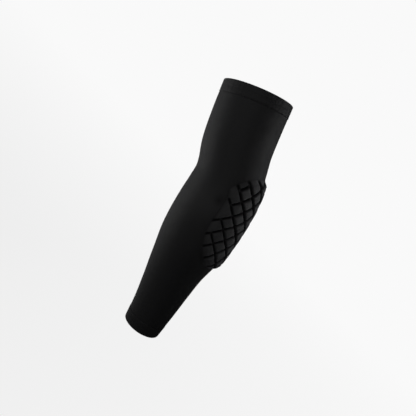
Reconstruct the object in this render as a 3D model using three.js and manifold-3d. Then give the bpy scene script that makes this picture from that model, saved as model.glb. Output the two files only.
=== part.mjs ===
import * as THREE from 'three';
import Module from 'manifold-3d';

// A padded elbow sleeve in its worn, slightly bent shape, in millimetres.
// The origin lies on the upper arm's axis at the fold of the elbow.
// +Z runs up the upper arm and +X points out through the middle of the pad.

// Knitted cloth and its turned hems
const CLOTH = 1.2;
const HEM_HEIGHT = 17;
const HEM_PROUD = 0.35;
const HEM_DEPTH = 2;
const HEM_ROUND = 0.6;
const PIECE_GAP = 0.3;

// Oval sections of the sleeve from the wrist up to its top edge:
// the middle of each oval, half its width along X and half its depth along Y
const SECTIONS = [
  { x: -39.6, y: 35.2, z: -234.4, halfX: 25.7, halfY: 30.5 },
  { x: -31.9, y: 30.7, z: -200.0, halfX: 29.6, halfY: 33.0 },
  { x: -25.7, y: 25.8, z: -166.0, halfX: 34.1, halfY: 36.1 },
  { x: -20.1, y: 20.8, z: -135.0, halfX: 39.0, halfY: 39.6 },
  { x: -12.8, y: 16.1, z: -103.0, halfX: 45.6, halfY: 43.8 },
  { x: -7.1, y: 12.0, z: -75.0, halfX: 47.7, halfY: 45.3 },
  { x: -1.3, y: 8.1, z: -49.0, halfX: 48.1, halfY: 45.5 },
  { x: 3.8, y: 4.8, z: -25.0, halfX: 47.3, halfY: 45.1 },
  { x: 6.4, y: 2.6, z: -4.0, halfX: 45.9, halfY: 45.4 },
  { x: 5.0, y: 1.6, z: 15.0, halfX: 45.6, halfY: 46.5 },
  { x: 1.2, y: 0.4, z: 40.0, halfX: 46.8, halfY: 47.6 },
  { x: 0.0, y: 0.0, z: 75.0, halfX: 47.6, halfY: 48.4 },
  { x: 0.0, y: 0.0, z: 112.8, halfX: 48.0, halfY: 49.1 },
];

// Both edges are cut a little aslant: how far the cloth runs on along the arm for
// each millimetre out towards the pad and each millimetre to the side
const WRIST_SLANT = { out: -0.082, side: -0.044 };
const TOP_SLANT = { out: 0.01, side: -0.032 };
const SLANT_REACH = 70;

// The pad is drawn flat and bent round the arm. Across runs round the arm from
// the pad's middle line, and station is the way up the arm from the wrist edge.
const PAD_RADIUS = 51;
const PAD_MIDDLE = 187.6;
const PAD_SHIFT = -0.8;
const PAD_LEAN = 0.092;
const PAD_TOP = 248.6;
const PAD_SIDE_TOP = 229.6;
const PAD_SIDE_BOTTOM = 195.6;
const PAD_BOTTOM = 126.4;
const PAD_HALF_WIDTH = 57.5;
const PAD_HALF_TOP = 12;
const PAD_CLEARANCE = 0.5;
const PAD_EDGE = 2.4;
const PAD_BACKING = 2.2;
const PAD_MARGIN = 3;
const PAD_THICK = { top: 5.3, bottom: 4.6 };
const PAD_SLOPE = 6.5;

// Diamond cells pressed into the pad, larger towards the wrist
const GROOVE = 2.4;
const COLUMN_STEP = 12;
const COLUMN_COUNT = 5;
const ROW_TOP = 246.6;
const ROW_STEP = 6.9;
const ROW_GROWTH = 0.27;
const ROW_SAG = 0.19;
const ROW_COUNT = 13;
const CELL_ROOT = 1.2;
const CELL_ROUND = 1.1;
const CELL_CROWN = 0.4;
const CELL_LEAST_AREA = 30;

// Facets
const SIDES = 48;
const BODY_RINGS = 24;
const OUTLINE_POINTS = 44;
const BACKING_RINGS = 6;
const LONGEST_EDGE = 10;

const wasm = await Module();
wasm.setup();

const centreLine = new THREE.CatmullRomCurve3(
  SECTIONS.map(({ x, y, z }) => new THREE.Vector3(x, y, z)),
  false,
  'catmullrom',
);
centreLine.arcLengthDivisions = 600;
const halfSizes = new THREE.CatmullRomCurve3(
  SECTIONS.map(({ halfX, halfY }) => new THREE.Vector3(halfX, halfY, 0)),
  false,
  'catmullrom',
);
const LENGTH = centreLine.getLength();

// A point of the sleeve: lift is the height over the outer face of the cloth
function sleevePoint(station, angle, lift) {
  const t = centreLine.getUtoTmapping(0, station);
  const nearWrist = Math.max(0, 1 - station / SLANT_REACH) ** 2;
  const nearTop = Math.max(0, 1 - (LENGTH - station) / SLANT_REACH) ** 2;
  const up = centreLine.getTangent(t);
  const out = new THREE.Vector3(1, 0, 0).addScaledVector(up, -up.x).normalize();
  const side = new THREE.Vector3().crossVectors(up, out);
  const half = halfSizes.getPoint(t);
  const outward = half.x * Math.cos(angle);
  const sideways = half.y * Math.sin(angle);
  const slant =
    nearWrist * (WRIST_SLANT.out * outward + WRIST_SLANT.side * sideways) +
    nearTop * (TOP_SLANT.out * outward + TOP_SLANT.side * sideways);
  const normal = new THREE.Vector3()
    .addScaledVector(out, half.y * Math.cos(angle))
    .addScaledVector(side, half.x * Math.sin(angle))
    .normalize();
  return centreLine
    .getPoint(t)
    .addScaledVector(out, outward)
    .addScaledVector(side, sideways)
    .addScaledVector(up, slant)
    .addScaledVector(normal, lift);
}

function indexedGeometry(points, triangles) {
  const geometry = new THREE.BufferGeometry().setFromPoints(points);
  geometry.setIndex(triangles);
  geometry.computeVertexNormals();
  return geometry;
}

// A closed wall all the way round the arm from a closed profile of stations and lifts
function bandAround(profile) {
  const points = [];
  const triangles = [];
  for (const { station, lift } of profile) {
    for (let side = 0; side < SIDES; side += 1) {
      points.push(sleevePoint(station, (2 * Math.PI * side) / SIDES, lift));
    }
  }
  for (let row = 0; row < profile.length; row += 1) {
    const nextRow = (row + 1) % profile.length;
    for (let side = 0; side < SIDES; side += 1) {
      const nextSide = (side + 1) % SIDES;
      const a = row * SIDES + side;
      const b = row * SIDES + nextSide;
      const c = nextRow * SIDES + nextSide;
      const d = nextRow * SIDES + side;
      triangles.push(a, b, c, a, c, d);
    }
  }
  return indexedGeometry(points, triangles);
}

function bodyProfile() {
  const from = HEM_HEIGHT + PIECE_GAP;
  const to = LENGTH - HEM_HEIGHT - PIECE_GAP;
  const outer = [];
  const inner = [];
  for (let ring = 0; ring < BODY_RINGS; ring += 1) {
    const station = THREE.MathUtils.lerp(from, to, ring / (BODY_RINGS - 1));
    outer.push({ station, lift: 0 });
    inner.unshift({ station, lift: -CLOTH });
  }
  return [...outer, ...inner];
}

// A hem is the cloth turned in on itself, thicker than the wall, with round edges
function hemProfile(from, to) {
  const outside = HEM_PROUD;
  const inside = -HEM_DEPTH;
  return [
    { station: from + HEM_ROUND, lift: outside },
    { station: to - HEM_ROUND, lift: outside },
    { station: to, lift: outside - HEM_ROUND },
    { station: to, lift: inside + HEM_ROUND },
    { station: to - HEM_ROUND, lift: inside },
    { station: from + HEM_ROUND, lift: inside },
    { station: from, lift: inside + HEM_ROUND },
    { station: from, lift: outside - HEM_ROUND },
  ];
}

// The pad's rim drawn flat, anticlockwise: a straight top with round corners,
// straight sides and a half oval below
function padOutline() {
  const cornerX = PAD_HALF_WIDTH - PAD_HALF_TOP;
  const cornerY = PAD_TOP - PAD_SIDE_TOP;
  const path = new THREE.Path();
  path.moveTo(PAD_HALF_TOP, PAD_TOP);
  path.lineTo(-PAD_HALF_TOP, PAD_TOP);
  path.absellipse(-PAD_HALF_TOP, PAD_SIDE_TOP, cornerX, cornerY, Math.PI / 2, Math.PI);
  path.lineTo(-PAD_HALF_WIDTH, PAD_SIDE_BOTTOM);
  path.absellipse(0, PAD_SIDE_BOTTOM, PAD_HALF_WIDTH, PAD_SIDE_BOTTOM - PAD_BOTTOM, Math.PI, 2 * Math.PI);
  path.lineTo(PAD_HALF_WIDTH, PAD_SIDE_TOP);
  path.absellipse(PAD_HALF_TOP, PAD_SIDE_TOP, cornerX, cornerY, 0, Math.PI / 2);
  return path.getSpacedPoints(OUTLINE_POINTS).slice(0, OUTLINE_POINTS);
}

const OUTLINE = padOutline();

function padPoint(flat, lift) {
  const around = flat.x + PAD_SHIFT + PAD_LEAN * (flat.y - PAD_MIDDLE);
  return sleevePoint(flat.y, around / PAD_RADIUS, lift);
}

function distanceToRim(flat) {
  const distances = OUTLINE.map((start, index) => {
    const end = OUTLINE[(index + 1) % OUTLINE.length];
    const edge = new THREE.Vector2().subVectors(end, start);
    const along = new THREE.Vector2().subVectors(flat, start).dot(edge) / edge.lengthSq();
    const nearest = start.clone().addScaledVector(edge, THREE.MathUtils.clamp(along, 0, 1));
    return nearest.distanceTo(flat);
  });
  return Math.min(...distances);
}

// The foam slopes down to a thin rim
function padHeight(flat) {
  const upward = (flat.y - PAD_BOTTOM) / (PAD_TOP - PAD_BOTTOM);
  const full = THREE.MathUtils.lerp(PAD_THICK.bottom, PAD_THICK.top, upward);
  const rise = THREE.MathUtils.smoothstep(distanceToRim(flat), 0, PAD_SLOPE);
  return THREE.MathUtils.lerp(PAD_EDGE, full, rise);
}

// A solid from loops of equal length, each anticlockwise seen from outside,
// from the lowest to the highest, closed by a fan at either end
function solidFromLoops(bottomMiddle, loops, topMiddle) {
  const count = loops[0].length;
  const points = [...loops.flat(), bottomMiddle, topMiddle];
  const bottom = loops.length * count;
  const top = bottom + 1;
  const triangles = [];
  for (let i = 0; i < count; i += 1) {
    const next = (i + 1) % count;
    triangles.push(bottom, next, i);
    for (let level = 0; level < loops.length - 1; level += 1) {
      const low = level * count;
      const high = low + count;
      triangles.push(low + i, low + next, high + next, low + i, high + next, high + i);
    }
    const last = (loops.length - 1) * count;
    triangles.push(top, last + i, last + next);
  }
  return new wasm.Manifold(
    new wasm.Mesh({
      numProp: 3,
      vertProperties: new Float32Array(points.flatMap((point) => point.toArray())),
      triVerts: new Uint32Array(triangles),
    }),
  );
}

function padBacking() {
  const middle = new THREE.Vector2(0, PAD_MIDDLE);
  const ring = (share, lift) =>
    OUTLINE.map((rim) => padPoint(middle.clone().lerp(rim, share), lift));
  const loops = [];
  for (let step = 1; step <= BACKING_RINGS; step += 1) {
    loops.push(ring(step / BACKING_RINGS, PAD_CLEARANCE));
  }
  loops.push(ring(1, PAD_CLEARANCE + (PAD_BACKING - PAD_CLEARANCE) / 2));
  loops.push(ring(1 - PAD_MARGIN / PAD_HALF_WIDTH / 2, PAD_BACKING));
  for (let step = BACKING_RINGS - 1; step >= 1; step -= 1) {
    loops.push(ring(step / BACKING_RINGS, PAD_BACKING));
  }
  return solidFromLoops(padPoint(middle, PAD_CLEARANCE), loops, padPoint(middle, PAD_BACKING));
}

// The part of a flat polygon that lies at least inset to the left of a line
function cutByLine(polygon, start, end, inset) {
  const edge = new THREE.Vector2().subVectors(end, start).normalize();
  const depth = (point) => edge.cross(new THREE.Vector2().subVectors(point, start)) - inset;
  return polygon.flatMap((point, index) => {
    const next = polygon[(index + 1) % polygon.length];
    const here = depth(point);
    const there = depth(next);
    const kept = here >= 0 ? [point] : [];
    if (here >= 0 !== there >= 0) {
      kept.push(point.clone().lerp(next, here / (here - there)));
    }
    return kept;
  });
}

function cutByRing(polygon, ring, inset) {
  return ring.reduce(
    (kept, start, index) => cutByLine(kept, start, ring[(index + 1) % ring.length], inset),
    polygon,
  );
}

function withShortEdges(polygon) {
  return polygon.flatMap((point, index) => {
    const next = polygon[(index + 1) % polygon.length];
    const middle = point.clone().lerp(next, 0.5);
    return point.distanceTo(next) > LONGEST_EDGE ? [point, middle] : [point];
  });
}

// Where two grooves cross: the rows hang down in the middle of the pad
function crossing(column, row) {
  const station = ROW_TOP - row * (ROW_STEP + ROW_GROWTH * row) + ROW_SAG * column ** 2;
  return new THREE.Vector2(column * COLUMN_STEP, station);
}

// One raised cell round a middle crossing, or nothing where too little of it is left
function padCell(column, row) {
  const corners = [
    crossing(column + 1, row),
    crossing(column, row - 1),
    crossing(column - 1, row),
    crossing(column, row + 1),
  ];
  const diamond = cutByRing(corners, corners, GROOVE / 2);
  const flat = withShortEdges(cutByRing(diamond, OUTLINE, PAD_MARGIN));
  if (flat.length < 3 || THREE.ShapeUtils.area(flat) < CELL_LEAST_AREA) {
    return null;
  }
  const middle = flat.reduce((sum, point) => sum.add(point), new THREE.Vector2());
  middle.divideScalar(flat.length);
  const drawnIn = (point) =>
    point.clone().addScaledVector(new THREE.Vector2().subVectors(middle, point).normalize(), CELL_ROUND);
  const loops = [
    flat.map((point) => padPoint(point, CELL_ROOT)),
    flat.map((point) => padPoint(point, padHeight(point) - CELL_ROUND / 2)),
    flat.map(drawnIn).map((point) => padPoint(point, padHeight(point))),
  ];
  const bottomMiddle = padPoint(middle, CELL_ROOT);
  const topMiddle = padPoint(middle, padHeight(middle) + CELL_CROWN);
  return solidFromLoops(bottomMiddle, loops, topMiddle);
}

function elbowPadGeometry() {
  let solid = padBacking();
  for (let row = 0; row < ROW_COUNT; row += 1) {
    for (let column = -COLUMN_COUNT; column <= COLUMN_COUNT; column += 1) {
      const isCell = (row + column) % 2 !== 0;
      const cell = isCell ? padCell(column, row) : null;
      solid = cell ? solid.add(cell) : solid;
    }
  }
  const { vertProperties, triVerts } = solid.getMesh();
  const geometry = new THREE.BufferGeometry();
  geometry.setAttribute('position', new THREE.BufferAttribute(vertProperties, 3));
  geometry.setIndex(new THREE.BufferAttribute(triVerts, 1));
  geometry.computeVertexNormals();
  return geometry;
}

function piece(name, geometry, finish) {
  const mesh = new THREE.Mesh(geometry, new THREE.MeshStandardMaterial(finish));
  mesh.name = name;
  return mesh;
}

const BLACK_KNIT = { color: 0x151517, roughness: 0.92, metalness: 0 };
const BLACK_FOAM = { color: 0x1c1c1f, roughness: 0.85, metalness: 0 };

const elbowSleeve = new THREE.Group();
elbowSleeve.add(
  piece('sleeve_body', bandAround(bodyProfile()), BLACK_KNIT),
  piece('upper_hem', bandAround(hemProfile(LENGTH - HEM_HEIGHT, LENGTH)), BLACK_KNIT),
  piece('wrist_hem', bandAround(hemProfile(0, HEM_HEIGHT)), BLACK_KNIT),
  piece('elbow_pad', elbowPadGeometry(), BLACK_FOAM),
);

export default elbowSleeve;
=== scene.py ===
# %% [markdown]
# # A padded elbow sleeve
#
# The real thing is a tube of black stretch knit, worn from the upper arm to the wrist.
# Both ends are turned in and stitched, and a foam pad of raised diamond cells covers the
# point of the elbow. The part's solids are loaded first as a fixed frame. Each piece made
# below stands where its solid stands, so nothing has to be fitted afterwards.

import math

import bpy
import numpy as np
from mathutils import Matrix, Vector


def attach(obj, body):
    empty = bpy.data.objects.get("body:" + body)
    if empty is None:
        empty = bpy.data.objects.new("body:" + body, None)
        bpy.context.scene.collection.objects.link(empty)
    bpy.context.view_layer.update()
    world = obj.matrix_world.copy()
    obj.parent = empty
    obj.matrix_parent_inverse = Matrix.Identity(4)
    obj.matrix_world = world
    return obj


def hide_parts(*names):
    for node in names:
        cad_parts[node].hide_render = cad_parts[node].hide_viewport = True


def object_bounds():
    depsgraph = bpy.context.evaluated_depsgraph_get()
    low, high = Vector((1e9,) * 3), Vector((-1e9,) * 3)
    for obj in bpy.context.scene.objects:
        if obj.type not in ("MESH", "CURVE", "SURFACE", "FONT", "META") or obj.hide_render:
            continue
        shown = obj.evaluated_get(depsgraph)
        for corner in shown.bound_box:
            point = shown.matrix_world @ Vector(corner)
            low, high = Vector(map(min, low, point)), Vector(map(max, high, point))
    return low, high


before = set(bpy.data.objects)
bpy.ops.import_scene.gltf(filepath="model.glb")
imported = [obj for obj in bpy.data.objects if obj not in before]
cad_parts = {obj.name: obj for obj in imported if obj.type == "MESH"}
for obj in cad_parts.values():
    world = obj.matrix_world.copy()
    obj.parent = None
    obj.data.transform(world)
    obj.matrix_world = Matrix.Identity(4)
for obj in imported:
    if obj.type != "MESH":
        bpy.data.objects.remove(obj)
cad_box = [list(corner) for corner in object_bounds()]
scene = bpy.context.scene
print("solids:", sorted(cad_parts))
print("box of the solids in metres:", np.round(cad_box, 4).tolist())

# %% [markdown]
# ## The camera
#
# The sleeve stands upright in its frame, with the upper arm along Z, but the picture shows
# it aslant. Turning the sleeve would break its frame, so the camera is rolled instead. Its
# axes are written out from three angles, which also lets the lights be placed as a
# photographer thinks of them: to the right, above, or nearer to the camera.

# %% Camera
IMAGE_SIDE = 416
FOCAL_LENGTH_PIXELS = 769
SENSOR_WIDTH = 36.0
CAMERA_PLACE = Vector((0.3393, -0.9416, -0.0072))
CAMERA_AZIMUTH = math.radians(20.0)
CAMERA_TILT = math.radians(2.4)
CAMERA_ROLL = math.radians(22.7)


def camera_axes():
    level_right = Vector((math.cos(CAMERA_AZIMUTH), math.sin(CAMERA_AZIMUTH), 0))
    level_ahead = Vector((-math.sin(CAMERA_AZIMUTH), math.cos(CAMERA_AZIMUTH), 0))
    ahead = math.cos(CAMERA_TILT) * level_ahead - Vector((0, 0, math.sin(CAMERA_TILT)))
    level_up = level_right.cross(ahead)
    right = math.cos(CAMERA_ROLL) * level_right + math.sin(CAMERA_ROLL) * level_up
    up = math.cos(CAMERA_ROLL) * level_up - math.sin(CAMERA_ROLL) * level_right
    return right, up, ahead


RIGHT, UP, AHEAD = camera_axes()
camera = bpy.data.objects.new("camera", bpy.data.cameras.new("camera"))
camera.data.sensor_width = SENSOR_WIDTH
camera.data.lens = FOCAL_LENGTH_PIXELS * SENSOR_WIDTH / IMAGE_SIDE
camera.matrix_world = (
    Matrix.Translation(CAMERA_PLACE) @ Matrix((RIGHT, UP, -AHEAD)).transposed().to_4x4()
)
scene.collection.objects.link(camera)
scene.camera = camera
print(f"camera: lens {camera.data.lens:.1f} mm, {CAMERA_PLACE.length:.2f} m from the elbow")

# %% [markdown]
# ## The form of the arm
#
# Knit pulled over an arm takes the arm's form. That form is a row of ovals on a bent centre
# line, with a smooth curve through their middles and another through their sizes. It could
# be sculpted, but a function is better here: it gives a point of the cloth from three plain
# facts, how far up the arm it is (station), which way round it is (angle) and how high it
# stands over the cloth's face (lift). Every piece below is drawn with it. The table repeats
# the part's own sections, in millimetres, and both edges are cut slightly aslant.

# %% The sleeve's surface
MM = 0.001
# Each row: the middle's x, y and z, then the half widths outward and sideways.
SECTIONS = np.array(
    [
        (-39.6, 35.2, -234.4, 25.7, 30.5),
        (-31.9, 30.7, -200.0, 29.6, 33.0),
        (-25.7, 25.8, -166.0, 34.1, 36.1),
        (-20.1, 20.8, -135.0, 39.0, 39.6),
        (-12.8, 16.1, -103.0, 45.6, 43.8),
        (-7.1, 12.0, -75.0, 47.7, 45.3),
        (-1.3, 8.1, -49.0, 48.1, 45.5),
        (3.8, 4.8, -25.0, 47.3, 45.1),
        (6.4, 2.6, -4.0, 45.9, 45.4),
        (5.0, 1.6, 15.0, 45.6, 46.5),
        (1.2, 0.4, 40.0, 46.8, 47.6),
        (0.0, 0.0, 75.0, 47.6, 48.4),
        (0.0, 0.0, 112.8, 48.0, 49.1),
    ]
)
WRIST_SLANT = (-0.082, -0.044)
TOP_SLANT = (0.010, -0.032)
SLANT_REACH = 70.0
FINE_STEPS = 4000
TANGENT_STEP = 0.5


def smooth_rows(rows, place):
    """Values of a smooth curve through the rows, at a place counted in rows."""
    ends = np.vstack([2 * rows[:1] - rows[1:2], rows, 2 * rows[-1:] - rows[-2:-1]])
    first = np.clip(np.floor(place).astype(int), 0, len(rows) - 2)
    share = (place - first)[..., None]
    a, b, c, d = (ends[first + step] for step in range(4))
    slope = c - a
    bend = 2 * a - 5 * b + 4 * c - d
    twist = 3 * b - a - 3 * c + d
    return 0.5 * (2 * b + slope * share + bend * share**2 + twist * share**3)


FINE_PLACES = np.linspace(0, len(SECTIONS) - 1, FINE_STEPS + 1)
FINE_CENTRES = smooth_rows(SECTIONS, FINE_PLACES)[:, :3]
FINE_STATIONS = np.append(0, np.linalg.norm(np.diff(FINE_CENTRES, axis=0), axis=1).cumsum())
SLEEVE_LENGTH = FINE_STATIONS[-1]


def unit(vectors):
    return vectors / np.linalg.norm(vectors, axis=-1, keepdims=True)


def section_at(station):
    return smooth_rows(SECTIONS, np.interp(station, FINE_STATIONS, FINE_PLACES))


def sleeve_point(station, angle, lift):
    """Points of the sleeve in millimetres; the three arguments are arrays of one shape."""
    station, angle, lift = np.broadcast_arrays(station, angle, lift)
    section = section_at(station)
    half_x, half_y = section[..., 3:4], section[..., 4:5]
    ahead, behind = section_at(station + TANGENT_STEP), section_at(station - TANGENT_STEP)
    upward = unit(ahead[..., :3] - behind[..., :3])
    outward = unit(np.array([1.0, 0.0, 0.0]) - upward * upward[..., :1])
    sideways = np.cross(upward, outward)
    cosine, sine = np.cos(angle)[..., None], np.sin(angle)[..., None]
    normal = unit(outward * half_y * cosine + sideways * half_x * sine)
    near_wrist = np.clip(1 - station / SLANT_REACH, 0, 1)[..., None] ** 2
    near_top = np.clip(1 - (SLEEVE_LENGTH - station) / SLANT_REACH, 0, 1)[..., None] ** 2
    slants = zip(WRIST_SLANT, TOP_SLANT)
    slant_out, slant_side = (near_wrist * wrist + near_top * top for wrist, top in slants)
    slant = slant_out * half_x * cosine + slant_side * half_y * sine
    on_cloth = section[..., :3] + outward * half_x * cosine + sideways * half_y * sine
    return on_cloth + upward * slant + normal * lift[..., None]


print(f"sleeve: {SLEEVE_LENGTH:.0f} mm along its centre line, {len(SECTIONS)} sections")

# %% [markdown]
# ## Shader groups for cloth
#
# Three cloths share two effects, so each effect is one node group. The first is the knit
# itself: every loop of yarn shows as a small V, in columns called wales and rows called
# courses. It could be an image, but an image has one size, and a formula on the cloth's own
# coordinates stays sharp at any distance. The second is tone: black cloth is never one
# black, because stretch, lint and handling change it a little from place to place.

# %% Helpers for node trees
def wire(tree, value, socket):
    if isinstance(value, bpy.types.NodeSocket):
        tree.links.new(value, socket)
    else:
        socket.default_value = value


def calculate(tree, operation, *values):
    node = tree.nodes.new("ShaderNodeMath")
    node.operation = operation
    for value, socket in zip(values, node.inputs):
        wire(tree, value, socket)
    return node.outputs[0]


def new_group(name, inputs, outputs):
    tree = bpy.data.node_groups.new(name, "ShaderNodeTree")
    for label, kind in inputs:
        tree.interface.new_socket(label, in_out="INPUT", socket_type=kind)
    for label, kind in outputs:
        tree.interface.new_socket(label, in_out="OUTPUT", socket_type=kind)
    entry = tree.nodes.new("NodeGroupInput")
    leave = tree.nodes.new("NodeGroupOutput")
    return tree, entry.outputs, leave.inputs


# %% The knit group
LEG_RELIEF = 0.6


def knit_group():
    tree, entry, leave = new_group(
        "knit_loops",
        [
            ("Cloth", "NodeSocketVector"),
            ("Wales per metre", "NodeSocketFloat"),
            ("Courses per metre", "NodeSocketFloat"),
        ],
        [("Height", "NodeSocketFloat"), ("Yarn", "NodeSocketFloat")],
    )
    split = tree.nodes.new("ShaderNodeSeparateXYZ")
    tree.links.new(entry["Cloth"], split.inputs[0])
    wale = calculate(tree, "MULTIPLY", split.outputs["X"], entry["Wales per metre"])
    course = calculate(tree, "MULTIPLY", split.outputs["Y"], entry["Courses per metre"])
    across = calculate(tree, "SUBTRACT", calculate(tree, "FRACT", wale), 0.5)
    off_middle = calculate(tree, "MULTIPLY", calculate(tree, "ABSOLUTE", across), 2.0)
    column = calculate(tree, "SUBTRACT", 1.0, calculate(tree, "POWER", off_middle, 2.0))
    slanted = calculate(tree, "ADD", course, off_middle)
    turn = calculate(tree, "MULTIPLY", slanted, 2 * math.pi)
    leg = calculate(tree, "MULTIPLY_ADD", calculate(tree, "COSINE", turn), 0.5, 0.5)
    relief = calculate(tree, "MULTIPLY_ADD", leg, LEG_RELIEF, 1 - LEG_RELIEF)
    yarn = calculate(tree, "MULTIPLY", column, relief)
    tree.links.new(yarn, leave["Height"])
    tree.links.new(yarn, leave["Yarn"])
    return tree


KNIT = knit_group()
print("group:", KNIT.name, "with", len(KNIT.nodes), "nodes")

# %% The tone group
PATCH_SHARE = 0.4


def tone_group():
    tree, entry, leave = new_group(
        "cloth_tone",
        [
            ("Patch size", "NodeSocketFloat"),
            ("Fleck size", "NodeSocketFloat"),
            ("Contrast", "NodeSocketFloat"),
        ],
        [("Tone", "NodeSocketFloat")],
    )
    place = tree.nodes.new("ShaderNodeTexCoord").outputs["Object"]
    shares = []
    for label, detail in (("Patch size", 2.0), ("Fleck size", 3.0)):
        noise = tree.nodes.new("ShaderNodeTexNoise")
        noise.inputs["Detail"].default_value = detail
        tree.links.new(place, noise.inputs["Vector"])
        tree.links.new(calculate(tree, "DIVIDE", 1.0, entry[label]), noise.inputs["Scale"])
        shares.append(noise.outputs[0])
    patches = calculate(tree, "MULTIPLY", shares[0], PATCH_SHARE)
    mixed = calculate(tree, "MULTIPLY_ADD", shares[1], 1 - PATCH_SHARE, patches)
    off_middle = calculate(tree, "SUBTRACT", mixed, 0.5)
    stretched = calculate(tree, "MULTIPLY_ADD", off_middle, entry["Contrast"], 0.5)
    tree.links.new(stretched, leave["Tone"])
    return tree


TONE = tone_group()
print("group:", TONE.name, "with", len(TONE.nodes), "nodes")

# %% [markdown]
# ## The cloths
#
# Black stretch knit is very dark and matt, with a soft bloom where it turns away from the
# eye, because loose fibre ends catch the light there. A Principled shader gives that with a
# near-black colour, a low specular level and a little sheen. Values that are the same all
# over are set on the shader's own sockets. Only what changes over the cloth is wired: the
# colour and roughness from tone and yarn, and the normal from the loops. Two values kept at
# each point of a mesh change the colour too. The first is painted shade: it darkens the
# cloth to near black in the pad's grooves, along its rim, in the dent beside it and along
# the seams of the hems, where shade falls. The second leads to another tone of the same
# cloth: a painted highlight at the sides of the elbow, where the knit faces the light, and a
# darker tone towards the pad's rim.

# %% The cloth material
CLOTH_COORDINATES = "cloth"
# Names of the values kept at each point: painted shade, and a shift to another tone.
PAINTED_SHADE = "painted_shade"
TONE_SHIFT = "tone_shift"
# Painted shade turns the colour nearly black, and full roughness takes the highlight out there.
PAINTED_SHADE_COLOUR = (0.0003, 0.0003, 0.0003, 1)
PAINTED_SHADE_ROUGHNESS = 1.0
PATCH_SIZE = 0.05
TONE_SHARE = 0.5
LOOP_STRENGTH = 0.6
SHEEN_ROUGHNESS = 0.5
SHEEN_TINT = (0.9, 0.92, 1.0, 1.0)


def use_group(tree, group, **values):
    node = tree.nodes.new("ShaderNodeGroup")
    node.node_tree = group
    for label, value in values.items():
        wire(tree, value, node.inputs[label.replace("_", " ")])
    return node.outputs


def blend_values(tree, kind, factor, low, high):
    """A Mix node; it keeps sockets for every kind of value, and only its own are enabled."""
    node = tree.nodes.new("ShaderNodeMix")
    node.data_type = kind
    tree.links.new(factor, node.inputs[0])
    sockets = [socket for socket in node.inputs if socket.enabled]
    wire(tree, low, sockets[1])
    wire(tree, high, sockets[2])
    return next(socket for socket in node.outputs if socket.enabled)


def point_value(tree, name):
    """A value kept at each point of the mesh, or 0 where the mesh keeps none."""
    node = tree.nodes.new("ShaderNodeAttribute")
    node.attribute_name = name
    return node.outputs["Fac"]


def cloth_material(
    name, dark, light, wales, courses, depth, shine, sheen, roughness, fleck, contrast, other_tone=None
):
    material = bpy.data.materials.new(name)
    material.use_nodes = True
    tree = material.node_tree
    shader = tree.nodes["Principled BSDF"]
    cloth = tree.nodes.new("ShaderNodeUVMap")
    cloth.uv_map = CLOTH_COORDINATES
    loops = use_group(
        tree, KNIT, Cloth=cloth.outputs[0], Wales_per_metre=wales, Courses_per_metre=courses
    )
    tone = use_group(tree, TONE, Patch_size=PATCH_SIZE, Fleck_size=fleck, Contrast=contrast)["Tone"]
    yarn = calculate(tree, "MULTIPLY", loops["Yarn"], 1 - TONE_SHARE)
    shade = calculate(tree, "MULTIPLY_ADD", tone, TONE_SHARE, yarn)
    colour = blend_values(tree, "RGBA", shade, (*dark, 1), (*light, 1))
    # Another tone, given at each point: a painted highlight on the knit, a darker rim on the pad.
    if other_tone is not None:
        colour = blend_values(tree, "RGBA", point_value(tree, TONE_SHIFT), colour, (*other_tone, 1))
    # Painted shade, given at each point, darkens the colour and roughens the cloth.
    painted_shade = point_value(tree, PAINTED_SHADE)
    colour = blend_values(tree, "RGBA", painted_shade, colour, PAINTED_SHADE_COLOUR)
    tree.links.new(colour, shader.inputs["Base Color"])
    rough = blend_values(tree, "FLOAT", tone, roughness[0], roughness[1])
    rough = blend_values(tree, "FLOAT", painted_shade, rough, PAINTED_SHADE_ROUGHNESS)
    tree.links.new(rough, shader.inputs["Roughness"])
    shader.inputs["Specular IOR Level"].default_value = shine
    shader.inputs["Sheen Weight"].default_value = sheen
    shader.inputs["Sheen Roughness"].default_value = SHEEN_ROUGHNESS
    shader.inputs["Sheen Tint"].default_value = SHEEN_TINT
    bump = tree.nodes.new("ShaderNodeBump")
    bump.inputs["Strength"].default_value = LOOP_STRENGTH
    bump.inputs["Distance"].default_value = depth
    tree.links.new(loops["Height"], bump.inputs["Height"])
    tree.links.new(bump.outputs[0], shader.inputs["Normal"])
    return material


# %% The three cloths
KNIT_WALES = 1400
KNIT_CLOTH = cloth_material(
    "black_knit",
    dark=(0.0045, 0.0045, 0.0048),
    light=(0.0085, 0.0085, 0.009),
    wales=KNIT_WALES,
    courses=1900,
    depth=0.00012,
    shine=0.12,
    sheen=0.01,
    roughness=(0.5, 0.6),
    fleck=0.004,
    contrast=1.0,
    # The paler tone is a painted highlight at the sides of the elbow.
    other_tone=(0.0125, 0.0125, 0.013),
)
PAD_CLOTH = cloth_material(
    "black_pad_face",
    dark=(0.0105, 0.0105, 0.011),
    light=(0.024, 0.024, 0.0246),
    wales=1000,
    courses=1100,
    depth=0.0002,
    shine=0.12,
    sheen=0.06,
    roughness=(0.5, 0.6),
    fleck=0.0025,
    contrast=3.0,
    # The darker tone towards the pad's rim.
    other_tone=(0.0065, 0.0065, 0.0068),
)
THREAD = cloth_material(
    "black_thread",
    dark=(0.005, 0.005, 0.0055),
    light=(0.012, 0.012, 0.013),
    wales=4000,
    courses=2500,
    depth=0.00005,
    shine=0.2,
    sheen=0.01,
    roughness=(0.45, 0.55),
    fleck=0.004,
    contrast=1.0,
)
print("cloths:", KNIT_CLOTH.name, PAD_CLOTH.name, THREAD.name)

# %% [markdown]
# ## Meshes from grids
#
# Every piece of the sleeve is a closed skin, nearly all of it quads. Written as arrays, a
# skin is a table of points with rows and columns, and its faces join each point to the next
# row and column. The cloth's coordinates are kept for each corner of a face, in metres round
# and along the arm. Each wall round the arm has the same whole number of loops round it, so
# the knit shows no jump where the wall closes.

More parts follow.
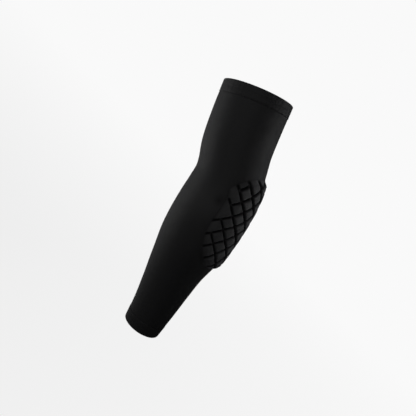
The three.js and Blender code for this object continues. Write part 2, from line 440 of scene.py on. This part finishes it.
# %% Grid helpers
def grid_corners(rows, columns):
    """Row and column of each corner of each quad, in the order that faces outwards."""
    row, column = np.meshgrid(np.arange(rows), np.arange(columns), indexing="ij")
    steps = ((0, 0), (0, 1), (1, 1), (1, 0))
    corners = [np.stack([row + down, column + along], axis=-1) for down, along in steps]
    return np.stack(corners, axis=2).reshape(-1, 4, 2)


def add_piece(name, points, faces, cloth, material, values=None):
    """A new mesh object in metres that rides on the sleeve."""
    mesh = bpy.data.meshes.new(name)
    mesh.from_pydata((points.reshape(-1, 3) * MM).tolist(), [], faces.tolist())
    layer = mesh.uv_layers.new(name=CLOTH_COORDINATES)
    layer.data.foreach_set("uv", (cloth.reshape(-1, 2) * MM).ravel())
    for label, value in (values or {}).items():
        kept = mesh.attributes.new(label, "FLOAT", "POINT")
        kept.data.foreach_set("value", np.ravel(value))
    mesh.materials.append(material)
    mesh.shade_smooth()
    piece = bpy.data.objects.new(name, mesh)
    scene.collection.objects.link(piece)
    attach(piece, "root")
    print(f"{name}: {len(mesh.vertices)} points, {len(mesh.polygons)} faces")
    return piece


print("row and column of one quad's corners:", grid_corners(1, 1)[0].tolist())

# %% A wall round the arm
GIRTH_FOR_CLOTH = 290.0


def add_band(name, stations, lifts, columns, material, values=None):
    """A closed wall round the arm from a closed profile; lifts may differ round the arm."""
    rows = len(stations)
    angles = np.linspace(0, 2 * np.pi, columns, endpoint=False)
    points = sleeve_point(np.asarray(stations)[:, None], angles[None, :], lifts)
    corners = grid_corners(rows, columns)
    faces = corners[..., 0] % rows * columns + corners[..., 1] % columns
    around = corners[..., 1] / columns * GIRTH_FOR_CLOTH
    cloth = np.stack([around, np.asarray(stations)[corners[..., 0] % rows]], axis=-1)
    return add_piece(name, points, faces, cloth, material, values)


print(f"loops of knit round each wall: {GIRTH_FOR_CLOTH * MM * KNIT_WALES:.1f}")

# %% [markdown]
# ## The knitted tube
#
# The tube is a thin wall, smooth and tight, because stretch knit on an arm has hardly any
# folds. Its profile goes up the outer face and down the inner one. At either end the cloth
# dips a little, where the seam of the hem pulls it in. At the elbow two more things happen:
# a corner of the pad pulls a shallow dent into the knit, darkened with painted shade, and at
# both sides of the joint a painted highlight makes the knit paler, where its surface faces
# the light. Each is a bell curve over the cloth, because nothing on a stretched tube starts
# or ends sharply.

# %% Sleeve body
CLOTH_THICKNESS = 1.2
HEM_HEIGHT = 17.0
SEAM_GAP = 0.1
SEAM_DIP = 0.16
SEAM_REACH = 1.1
SEAM_STEPS = 4
BODY_ROWS = 170
BODY_COLUMNS = 176
DIMPLE_DEPTH = 1.2
# How dark the painted shade in the dent is.
DIMPLE_SHADE = 0.4
DIMPLE_STATION = 214.5
DIMPLE_ANGLE = -1.2
DIMPLE_REACH = 5.5
# Where the painted highlight lies at the sides of the elbow, and how far it reaches.
HIGHLIGHT_STATION = 207.0
HIGHLIGHT_ANGLE = 1.45
HIGHLIGHT_REACH = 24.0
ARM_RADIUS = 46.0


def ease(value, low, high):
    share = np.clip((value - low) / (high - low), 0, 1)
    return share * share * (3 - 2 * share)


def dimple(station, angle):
    """A dent, from 0 to 1, that the corner of the pad pulls into the knit."""
    along = (station - DIMPLE_STATION) / DIMPLE_REACH
    around = np.angle(np.exp(1j * (angle - DIMPLE_ANGLE))) * ARM_RADIUS / DIMPLE_REACH
    return np.exp(-(along**2) - around**2)


def elbow_highlight(station, angle):
    """How strong, from 0 to 1, the painted highlight is at the two sides of the elbow."""
    along = (station - HIGHLIGHT_STATION) / HIGHLIGHT_REACH
    turned = np.abs(np.angle(np.exp(1j * angle)))
    around = (turned - HIGHLIGHT_ANGLE) * ARM_RADIUS / HIGHLIGHT_REACH
    return np.exp(-(along**2) - around**2)


def make_sleeve_body():
    low, high = HEM_HEIGHT + SEAM_GAP, SLEEVE_LENGTH - HEM_HEIGHT - SEAM_GAP
    near_ends = np.linspace(0, SEAM_REACH, SEAM_STEPS, endpoint=False)
    inner_part = np.linspace(low + SEAM_REACH, high - SEAM_REACH, BODY_ROWS)
    up = np.concatenate([low + near_ends, inner_part, high - near_ends[::-1]])
    from_end = np.minimum(up - low, high - up)
    outer = -SEAM_DIP * (1 - ease(from_end, 0, SEAM_REACH))
    stations = np.concatenate([up, up[::-1]])
    angles = np.linspace(0, 2 * np.pi, BODY_COLUMNS, endpoint=False)
    dent = dimple(stations[:, None], angles[None, :])
    skin = np.concatenate([outer, np.full_like(outer, -CLOTH_THICKNESS)])
    lifts = skin[:, None] - DIMPLE_DEPTH * dent
    # Painted shade in the dent, and a painted highlight at the sides of the elbow.
    values = {PAINTED_SHADE: DIMPLE_SHADE * dent, TONE_SHIFT: elbow_highlight(stations[:, None], angles[None, :])}
    return add_band("knit_sleeve", stations, lifts, BODY_COLUMNS, KNIT_CLOTH, values)


knit_sleeve = make_sleeve_body()
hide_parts("sleeve_body")

# %% [markdown]
# ## The hems
#
# A hem is the cloth turned in and sewn down, so it is about twice as thick and ends in a
# tight fold. Two rows of stitches hold it, and the cloth sinks a little under each row.
# Stretched stitches also make the band ripple slightly. The ripple is a sum of a few waves
# round the arm, which is enough to keep the edge from looking turned on a lathe. Painted
# shade darkens the seam and the rows, hardest on one side, above the pad, so dark lines
# show there and fade out.

# %% Hem bands
HEM_PROUD = 0.3
HEM_DEPTH = 2.0
HEM_EDGE = 0.7
HEM_EDGE_STEPS = 8
HEM_COLUMNS = 320
HEM_STEPS = 40
STITCH_ROWS = (0.9, 8.2)
STITCH_SINK = 0.15
STITCH_SINK_REACH = 0.8
# The painted shade along the seam and the rows: its reach, its darkness, and the side where it is
# strongest.
SEAM_SHADE = (0.5, 1.4)
SEAM_DARKEST = 0.7
ROW_DARKEST = 0.35
SEAM_SHADE_SIDE = (0.8, 1.0)
SEAM_SHADE_ANGLE = -0.45
RIPPLE_HEIGHT = 0.12
RIPPLE_WAVES = ((37, 0.3, 0.45), (53, 1.7, 0.35), (71, 4.1, 0.2))


def hem_ripple(angles):
    waves = [share * np.sin(count * angles + shift) for count, shift, share in RIPPLE_WAVES]
    return RIPPLE_HEIGHT * np.sum(waves, axis=0)


def make_hem(name, fold, seam):
    """A hem whose folded edge and sewn edge lie at two stations."""
    toward_fold = np.sign(fold - seam)
    flat_part = np.linspace(0, HEM_HEIGHT - HEM_EDGE, HEM_STEPS)
    round_part = HEM_EDGE * np.cos(np.linspace(np.pi / 2, 0, HEM_EDGE_STEPS))[1:]
    from_seam = np.append(flat_part, HEM_HEIGHT - HEM_EDGE + round_part)
    sunk = sum(np.exp(-(((from_seam - row) / STITCH_SINK_REACH) ** 2)) for row in STITCH_ROWS)
    to_fold = HEM_HEIGHT - from_seam
    rounding = HEM_EDGE * (1 - np.sqrt(1 - np.clip(1 - to_fold / HEM_EDGE, 0, 1) ** 2))
    past_seam = ease(from_seam, 0, SEAM_REACH)
    flat = HEM_PROUD - STITCH_SINK * sunk - (HEM_PROUD + SEAM_DIP) * (1 - past_seam)
    outer = flat - rounding
    inner = rounding - HEM_DEPTH
    angles = np.linspace(0, 2 * np.pi, HEM_COLUMNS, endpoint=False)
    ripple = hem_ripple(angles)[None, :] * past_seam[:, None]
    outer_skin = outer[:, None] + ripple
    inner_skin = inner[:, None] + ripple
    # Painted shade along the seam and the stitch rows, strongest on one side.
    shaded_side = ease(np.cos(angles - SEAM_SHADE_ANGLE), *SEAM_SHADE_SIDE)[None, :]
    seam_row_shade = np.maximum(SEAM_DARKEST * (1 - ease(from_seam, *SEAM_SHADE)), ROW_DARKEST * sunk)
    hem_shade = shaded_side * seam_row_shade[:, None]
    stations = seam + toward_fold * np.concatenate([from_seam, from_seam[-2::-1]])
    lifts = np.concatenate([outer_skin, inner_skin[-2::-1]])
    hem_shade = np.concatenate([hem_shade, np.zeros_like(hem_shade)[1:]])
    if toward_fold < 0:
        stations, lifts, hem_shade = stations[::-1], lifts[::-1], hem_shade[::-1]
    return add_band(name, stations, lifts, HEM_COLUMNS, KNIT_CLOTH, {PAINTED_SHADE: hem_shade})


upper_hem = make_hem("upper_hem_band", SLEEVE_LENGTH, SLEEVE_LENGTH - HEM_HEIGHT)
wrist_hem = make_hem("wrist_hem_band", 0.0, HEM_HEIGHT)
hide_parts("upper_hem")
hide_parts("wrist_hem")

# %% [markdown]
# ## The stitches
#
# Each row of stitches is a line of short thread loops that come up out of the cloth and go
# down again. They could be painted on, but a thread stands proud and casts a shadow, so each
# one is a small tube. All tubes of a hem are worked out in one array and joined in one mesh.

# %% Stitching
STITCH_PITCH = 3.0
STITCH_LENGTH = 2.5
THREAD_RADIUS = 0.17
STITCH_RINGS = 7
THREAD_SIDES = 6
STITCH_REST = 0.05
STITCH_TIP = 0.04
STITCH_ARCH = 2.2


def stitch_grid(girth, station, hem_lift):
    count = int(round(girth / STITCH_PITCH))
    along = np.linspace(-1, 1, STITCH_RINGS)
    turn = np.linspace(0, 2 * np.pi, THREAD_SIDES, endpoint=False)
    middles = np.arange(count) * 2 * np.pi / count
    half_angle = STITCH_LENGTH / girth * np.pi
    angle = middles[:, None, None] + half_angle * along[None, :, None]
    plump = np.sqrt(np.clip(1 + STITCH_TIP - along**2, STITCH_TIP, 1))
    radius = THREAD_RADIUS * plump[None, :, None]
    arch = (STITCH_REST + THREAD_RADIUS * (1 - STITCH_ARCH * along**4))[None, :, None]
    ripple = hem_ripple(middles)[:, None, None]
    lift = hem_lift + ripple + arch + radius * np.sin(turn)[None, None, :]
    return sleeve_point(station + radius * np.cos(turn)[None, None, :], angle, lift)


def make_stitching(name, fold, seam):
    toward_fold = np.sign(fold - seam)
    middle = section_at(seam)
    girth = 2 * np.pi * math.sqrt((middle[3] ** 2 + middle[4] ** 2) / 2)
    rows = [
        stitch_grid(girth, seam + toward_fold * row, HEM_PROUD - STITCH_SINK) for row in STITCH_ROWS
    ]
    points = np.concatenate(rows)
    ring = grid_corners(STITCH_RINGS - 1, THREAD_SIDES)
    skin = ring[..., 0] * THREAD_SIDES + ring[..., 1] % THREAD_SIDES
    start = np.arange(THREAD_SIDES)
    end = start + (STITCH_RINGS - 1) * THREAD_SIDES
    one = skin.tolist() + [start[::-1].tolist(), end.tolist()]
    step = STITCH_RINGS * THREAD_SIDES
    faces = [
        [corner + step * stitch for corner in face]
        for stitch in range(len(points))
        for face in one
    ]
    flat = points.reshape(-1, 3)
    cloth = np.array([flat[corner][[0, 2]] for face in faces for corner in face])
    return add_piece(name, points, np.array(faces, dtype=object), cloth, THREAD)


upper_stitches = make_stitching("upper_hem_stitches", SLEEVE_LENGTH, SLEEVE_LENGTH - HEM_HEIGHT)
wrist_stitches = make_stitching("wrist_hem_stitches", 0.0, HEM_HEIGHT)

# %% [markdown]
# ## The elbow pad
#
# The pad is foam held between two cloths and formed in a hot mould. The mould's ribs press a
# lattice of grooves and leave flat diamond cells with soft shoulders. Simulated cloth would
# blow the cells up like pillows, so the pad is a height drawn over its flat outline instead:
# a slope up from a thin rim, less a groove near each line of the lattice. The pad thins
# towards its sides, where it wraps round the arm. The lattice's rows grow towards the wrist
# and its middle line bows, because the pad bends over the elbow. A few grooves stop short of
# the rim. Painted shade darkens the grooves, less where two grooves cross, and a fine
# painted shadow line follows the rim all round. The face's tone also darkens towards the rim.

# %% Pad outline
PAD_RADIUS = 51.0
PAD_MIDDLE = 187.6
PAD_SHIFT = -0.8
PAD_LEAN = 0.092
PAD_TOP = 248.6
PAD_SIDE_TOP = 229.6
PAD_SIDE_BOTTOM = 195.6
PAD_BOTTOM = 126.4
PAD_HALF_WIDTH = 57.5
PAD_HALF_TOP = 12.0
PAD_LEAST_HALF_WIDTH = 1.5
PAD_CORNER_BULGE = (4.0, 233.1, 6.5)
OUTLINE_STEPS = 400
TOP_STEPS = 60
SEARCH_PARTS = 60


def pad_half_width(station):
    above = np.clip((station - PAD_SIDE_TOP) / (PAD_TOP - PAD_SIDE_TOP), 0, 1)
    below = np.clip((PAD_SIDE_BOTTOM - station) / (PAD_SIDE_BOTTOM - PAD_BOTTOM), 0, 1)
    corner = PAD_HALF_TOP + (PAD_HALF_WIDTH - PAD_HALF_TOP) * np.sqrt(1 - above**2)
    oval = PAD_HALF_WIDTH * np.sqrt(1 - below**2)
    most, middle, reach = PAD_CORNER_BULGE
    bulge = most * np.exp(-(((station - middle) / reach) ** 2))
    return np.maximum(np.minimum(corner, oval) + bulge, PAD_LEAST_HALF_WIDTH)


def pad_outline():
    turn = np.linspace(0, np.pi, OUTLINE_STEPS)
    station = PAD_BOTTOM + (PAD_TOP - PAD_BOTTOM) * (1 + np.cos(turn)) / 2
    half = pad_half_width(station)
    top = np.linspace(-PAD_HALF_TOP, PAD_HALF_TOP, TOP_STEPS)
    sides = [np.stack([sign * half, station], axis=-1) for sign in (-1, 1)]
    return np.concatenate([*sides, np.stack([top, np.full_like(top, PAD_TOP)], axis=-1)])


def distance_to_rim(across, station):
    outline = pad_outline()
    places = np.stack([across, station], axis=-1).reshape(-1, 2)
    nearest = [
        np.sqrt(((part[:, None] - outline[None]) ** 2).sum(-1).min(1))
        for part in np.array_split(places, SEARCH_PARTS)
    ]
    return np.concatenate(nearest).reshape(across.shape)


print(f"pad: {PAD_TOP - PAD_BOTTOM:.0f} mm high, {2 * PAD_HALF_WIDTH:.0f} mm wide round the arm")

# %% Pad lattice
COLUMN_STEP = 11.3
ROW_TOP = 247.1
ROW_STEP = 6.74
ROW_GROWTH = 0.284
ROW_SAG = 0.085
SAG_GROWTH = 0.0004
MIDDLE_SHIFT = -2.6
MIDDLE_STATION = 194.0
MIDDLE_BOW = 0.00089
# Grooves that stop short, by number: from which to which crossing each one runs.
GROOVE_RUNS = {-1: (2, 3), 0: (-9, 4), 4: (-0.6, 9), 5: (1, 9), 6: (2, 9), 7: (9, 9)}
HALF_CELL = 0.5


def groove_gap(line, along):
    """Distance to the nearest groove of a family, as a share of a cell, where it is cut."""
    number = np.round(line)
    gap = np.abs(line - number)
    for groove, (start, end) in GROOVE_RUNS.items():
        beyond = np.clip(np.maximum(start - along, along - end), 0, HALF_CELL)
        to_end = np.minimum(np.hypot(gap, 2 * beyond), HALF_CELL)
        gap = np.where(number == groove, to_end, gap)
    return gap


def lattice(across, station):
    """Distances to the two families of grooves in millimetres, and each cell's numbers."""
    middle = MIDDLE_SHIFT + MIDDLE_BOW * (station - MIDDLE_STATION) ** 2
    column = (across - middle) / COLUMN_STEP
    sag = ROW_SAG + SAG_GROWTH * (ROW_TOP - station)
    below_top = ROW_TOP - station + sag * column**2
    root = np.sqrt(np.maximum(ROW_STEP**2 + 4 * ROW_GROWTH * below_top, 1.0))
    row = (root - ROW_STEP) / (2 * ROW_GROWTH)
    row_step = ROW_STEP + 2 * ROW_GROWTH * row
    spacing = 2 / np.sqrt(1 / COLUMN_STEP**2 + 1 / row_step**2)
    first, second = (row + column) / 2, (row - column) / 2
    gap_one = groove_gap(first, second) * spacing
    gap_two = groove_gap(second, first) * spacing
    return gap_one, gap_two, np.floor(first), np.floor(second)


print(f"lattice: columns {COLUMN_STEP} mm apart, rows from {ROW_STEP} mm apart at the top")

# %% Pad relief
GROOVE_FLOOR = 0.9
GROOVE_SHOULDER = 2.1
GROOVE_LIFT = 0.25
# Painted shade: its reach in the grooves, the lighter crossings, and the shadow line at the rim.
GROOVE_SHADE = (1.4, 2.1)
GROOVE_STARTS = (0.6, 2.0)
CROSSING_REACH = (1.0, 2.4)
CROSSING_LESS_SHADE = 0.45
RIM_SHADOW_REACH = (0.4, 1.6)
RIM_SHADOW_DARKNESS = 0.4
# How far in from the rim the face's tone darkens.
RIM_SHADE = (0.5, 8.0)
PAD_RIM = 0.3
PAD_THICK_TOP = 5.0
PAD_THICK_BOTTOM = 5.1
PAD_BELLY = 0.8
PAD_SLOPE = 6.5
PAD_SIDE_THINNING = 0.6
CELL_DOME = 0.3
CELL_DOME_REACH = 6.0
CELL_UNEVEN = 0.1
CELL_SCATTER = (12.9898, 78.233, 43758.5453)


def cell_unevenness(first, second):
    """A small height for each cell that looks random but is the same on every run."""
    by_first, by_second, spread = CELL_SCATTER
    wave = np.sin(first * by_first + second * by_second) * spread
    return (wave - np.floor(wave) - 0.5) * CELL_UNEVEN


def pad_lift(across, station):
    """The pad's height, its painted shade, and how far its tone darkens towards the rim."""
    rim = distance_to_rim(across, station)
    gap_one, gap_two, first, second = lattice(across, station)
    upward = (station - PAD_BOTTOM) / (PAD_TOP - PAD_BOTTOM)
    thick = PAD_THICK_BOTTOM + (PAD_THICK_TOP - PAD_THICK_BOTTOM) * upward
    thick = thick + PAD_BELLY * 4 * upward * (1 - upward)
    rise = ease(rim, 0, PAD_SLOPE)
    walls = (GROOVE_FLOOR, GROOVE_SHOULDER)
    raised = ease(gap_one, *walls) * ease(gap_two, *walls)
    dome = CELL_DOME * (ease(np.minimum(gap_one, gap_two), 0, CELL_DOME_REACH) - 1)
    thick = thick * (1 - PAD_SIDE_THINNING * (across / PAD_HALF_WIDTH) ** 2)
    face = PAD_RIM + (thick - PAD_RIM + dome + cell_unevenness(first, second)) * rise
    groove = (1 - raised) * ease(rim, *GROOVE_STARTS)
    # Painted shade: dark in the grooves, lighter where two cross, and a fine painted shadow line
    # along the rim.
    crossing = 1 - ease(np.maximum(gap_one, gap_two), *CROSSING_REACH)
    pad_shade = 1 - ease(np.minimum(gap_one, gap_two), *GROOVE_SHADE)
    pad_shade = pad_shade * (1 - CROSSING_LESS_SHADE * crossing) * ease(rim, *GROOVE_STARTS)
    pad_shade = np.maximum(pad_shade, RIM_SHADOW_DARKNESS * (1 - ease(rim, *RIM_SHADOW_REACH)))
    # The face's tone darkens towards the rim.
    tone_shift = 1 - ease(rim, *RIM_SHADE)
    return face - groove * np.maximum(face - GROOVE_LIFT, 0), pad_shade, tone_shift


print(f"relief: grooves {2 * GROOVE_FLOOR:.1f} mm wide, {GROOVE_LIFT} mm over the knit")

# %% Pad mesh
PAD_ROWS = 216
PAD_COLUMNS = 176
PAD_UNDERSIDE = 0.05
ROW_CROWDING = 0.4


def pad_grid():
    """Places over the pad's outline, with rows that crowd towards its top and bottom."""
    share = np.linspace(0, 1, PAD_ROWS)
    eased = (1 - ROW_CROWDING) * share + ROW_CROWDING * (1 - np.cos(np.pi * share)) / 2
    station = PAD_BOTTOM + (PAD_TOP - PAD_BOTTOM) * eased
    station = np.repeat(station[:, None], PAD_COLUMNS, axis=1)
    across = np.linspace(-1, 1, PAD_COLUMNS)[None, :] * pad_half_width(station)
    return across, station


def pad_points(across, station, lift):
    """Points of the pad, which lies on the knit and follows the dent at its corner."""
    angle = (across + PAD_SHIFT + PAD_LEAN * (station - PAD_MIDDLE)) / PAD_RADIUS
    return sleeve_point(station, angle, lift - DIMPLE_DEPTH * dimple(station, angle))


def rim_walk(rows, columns):
    """Point numbers once round the edge of a grid, anticlockwise seen from outside."""
    number = np.arange(rows * columns).reshape(rows, columns)
    return np.concatenate([number[0, :-1], number[:-1, -1], number[-1, :0:-1], number[:0:-1, 0]])


def make_pad():
    across, station = pad_grid()
    lift, pad_shade, tone_shift = pad_lift(across, station)
    top = pad_points(across, station, lift)
    under = pad_points(across, station, np.full_like(lift, PAD_UNDERSIDE))
    corners = grid_corners(PAD_ROWS - 1, PAD_COLUMNS - 1)
    face = corners[..., 0] * PAD_COLUMNS + corners[..., 1]
    count = PAD_ROWS * PAD_COLUMNS
    walk = rim_walk(PAD_ROWS, PAD_COLUMNS)
    ahead = np.roll(walk, -1)
    skirt = np.stack([walk + count, ahead + count, ahead, walk], axis=-1)
    faces = np.concatenate([face, face[:, ::-1] + count, skirt])
    flat = np.stack([across, station], axis=-1).reshape(-1, 2)
    cloth = flat[faces % count]
    points = np.concatenate([top, under])
    under_values = np.zeros_like(pad_shade)
    values = {
        PAINTED_SHADE: np.concatenate([pad_shade, under_values]),
        TONE_SHIFT: np.concatenate([tone_shift, under_values]),
    }
    return add_piece("quilted_elbow_pad", points, faces, cloth, PAD_CLOTH, values)


elbow_pad = make_pad()
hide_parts("elbow_pad")

# %% [markdown]
# ## The soft pieces
#
# Knit for such a sleeve is cut about a sixth smaller than the arm it is stretched over,
# and the pad's moulded foam is firm.

# %% [markdown]
# ## The studio
#
# The sleeve is held up by the arm that wears it, so it floats over a pale floor. The floor
# turns up into a wall all round, like a bowl, so no view of it has a horizon line. Paper that
# looks nearly white would light black cloth from every side and wash it out to grey. So the
# paper glows instead of being lit: it shows the camera a pale tone with a painted shade that
# dims gently across the room, but gives the cloth a much weaker light, held back on one side
# as a photographer's black flag does it. The world above the wall is as weak. Five soft lamps
# then light the sleeve alone. Three stand at its sides, a little behind it, and draw the
# edges of the cloth. A wide one in front opens the shadows, and one lights the back.

# %% Floor
FLOOR_DROP = 0.20
FLOOR_RADIUS = 1.6
FLOOR_CURVE = 0.9
WALL_HEIGHT = 1.2
FLAT_RINGS = (0.02, 0.8)
CURVE_RINGS = 17
FLOOR_COLUMNS = 96


def make_floor():
    turn = np.linspace(0, np.pi / 2, CURVE_RINGS)
    radius = np.append(FLAT_RINGS, FLOOR_RADIUS + FLOOR_CURVE * np.sin(turn))
    height = np.append(np.zeros_like(FLAT_RINGS), FLOOR_CURVE * (1 - np.cos(turn)))
    radius = np.append(radius, radius[-1])
    height = np.append(height, height[-1] + WALL_HEIGHT)
    angles = np.linspace(0, 2 * np.pi, FLOOR_COLUMNS, endpoint=False)
    level = cad_box[0][2] - FLOOR_DROP
    points = [
        (ring * math.cos(angle), ring * math.sin(angle), level + rise)
        for ring, rise in zip(radius, height)
        for angle in angles
    ]
    corners = grid_corners(len(radius) - 1, FLOOR_COLUMNS)
    faces = corners[..., 0] * FLOOR_COLUMNS + corners[..., 1] % FLOOR_COLUMNS
    middle = list(range(FLOOR_COLUMNS))
    mesh = bpy.data.meshes.new("studio_floor")
    mesh.from_pydata(points, [], faces[:, ::-1].tolist() + [middle])
    mesh.shade_smooth()
    return bpy.data.objects.new("studio_floor", mesh)


floor = make_floor()
scene.collection.objects.link(floor)
print(f"floor: a bowl {2 * (FLOOR_RADIUS + FLOOR_CURVE):.1f} m across")

# %% Paper
WORLD_STRENGTH = 0.27
# The paper glows; the step from the bright tone to the dim one is a painted shade across the room.
PAPER_BRIGHT = (0.948, 0.948, 0.948, 1)
PAPER_DIM = (0.849, 0.849, 0.849, 1)
# Each shade: the direction in which it grows, and the distances where it starts and ends.
PAPER_SHADE = (-(RIGHT + UP) / math.sqrt(2), -0.01, 0.6)
FLAG_SHADE = ((RIGHT - UP) / math.sqrt(2), -0.3, 0.5)


def shade_across(tree, direction, start, end):
    """A mask that grows from 0 to 1 along a direction of the room."""
    place = tree.nodes.new("ShaderNodeNewGeometry").outputs["Position"]
    along = tree.nodes.new("ShaderNodeVectorMath")
    along.operation = "DOT_PRODUCT"
    along.inputs[1].default_value = direction
    tree.links.new(place, along.inputs[0])
    mask = tree.nodes.new("ShaderNodeMapRange")
    mask.inputs["From Min"].default_value = start
    mask.inputs["From Max"].default_value = end
    tree.links.new(along.outputs["Value"], mask.inputs["Value"])
    return mask.outputs[0]


def paper_material():
    """Paper that glows: pale with a painted shade to the eye, but only a dim light on the cloth."""
    material = bpy.data.materials.new("pale_paper")
    material.use_nodes = True
    tree = material.node_tree
    tree.nodes.remove(tree.nodes["Principled BSDF"])
    glow = tree.nodes.new("ShaderNodeEmission")
    pale = blend_values(tree, "RGBA", shade_across(tree, *PAPER_SHADE), PAPER_BRIGHT, PAPER_DIM)
    tree.links.new(pale, glow.inputs["Color"])
    dull = tree.nodes.new("ShaderNodeEmission")
    flag = shade_across(tree, *FLAG_SHADE)
    flagged = blend_values(tree, "RGBA", flag, (1, 1, 1, 1), (0, 0, 0, 1))
    tree.links.new(flagged, dull.inputs["Color"])
    dull.inputs["Strength"].default_value = WORLD_STRENGTH
    both = tree.nodes.new("ShaderNodeMixShader")
    seen = tree.nodes.new("ShaderNodeLightPath").outputs["Is Camera Ray"]
    tree.links.new(seen, both.inputs[0])
    tree.links.new(dull.outputs[0], both.inputs[1])
    tree.links.new(glow.outputs[0], both.inputs[2])
    tree.links.new(both.outputs[0], tree.nodes["Material Output"].inputs["Surface"])
    return material


floor.data.materials.append(paper_material())
print("paper:", floor.data.materials[0].name)

# %% World
world = bpy.data.worlds.new("studio")
world.use_nodes = True
world.node_tree.nodes["Background"].inputs["Color"].default_value = (1, 1, 1, 1)
world.node_tree.nodes["Background"].inputs["Strength"].default_value = WORLD_STRENGTH
scene.world = world
scene.view_settings.view_transform = "Standard"
print("world strength:", WORLD_STRENGTH)

# %% Lamps
SLEEVE_MIDDLE = Vector(np.mean(cad_box, axis=0))
lit_pieces = bpy.data.collections.new("lit_by_lamps")
for piece in (knit_sleeve, upper_hem, wrist_hem, upper_stitches, wrist_stitches, elbow_pad):
    lit_pieces.objects.link(piece)


def camera_offset(right, up, toward):
    """A place given from the sleeve's middle as the camera sees it."""
    return SLEEVE_MIDDLE + RIGHT * right + UP * up - AHEAD * toward


def add_lamp(name, place, aim, size, spread, power):
    """A soft lamp that lights the sleeve alone."""
    lamp = bpy.data.lights.new(name, "AREA")
    lamp.shape = "RECTANGLE"
    lamp.size, lamp.size_y = size
    lamp.spread = math.radians(spread)
    lamp.energy = power
    holder = bpy.data.objects.new(name, lamp)
    holder.location = camera_offset(*place)
    beam = camera_offset(*aim) - holder.location
    holder.rotation_euler = beam.to_track_quat("-Z", "Y").to_euler()
    holder.visible_camera = False
    scene.collection.objects.link(holder)
    holder.light_linking.receiver_collection = lit_pieces
    return holder


UPPER_ARM = (0.06, 0.12, 0.0)
SHOULDER = (0.08, 0.18, 0.0)
# Each lamp: its name, place, aim, size in metres, spread in degrees and power in watts.
LAMPS = (
    ("left_lamp", (-0.68, 0.3, -0.27), SHOULDER, (0.8, 0.4), 44, 0.41),
    ("right_lamp", (0.68, 0.35, -0.26), UPPER_ARM, (0.7, 0.4), 60, 0.26),
    ("low_lamp", (0.64, -0.3, -0.2), UPPER_ARM, (0.6, 0.3), 44, 0.29),
    ("front_lamp", (0.0, 0.3, 1.3), UPPER_ARM, (2.0, 2.0), 120, 5.8),
    ("back_lamp", (0.0, 0.0, -1.3), UPPER_ARM, (0.6, 0.6), 120, 4.0),
)
lamps = [add_lamp(*lamp) for lamp in LAMPS]
print("lamps:", [lamp.name for lamp in lamps])
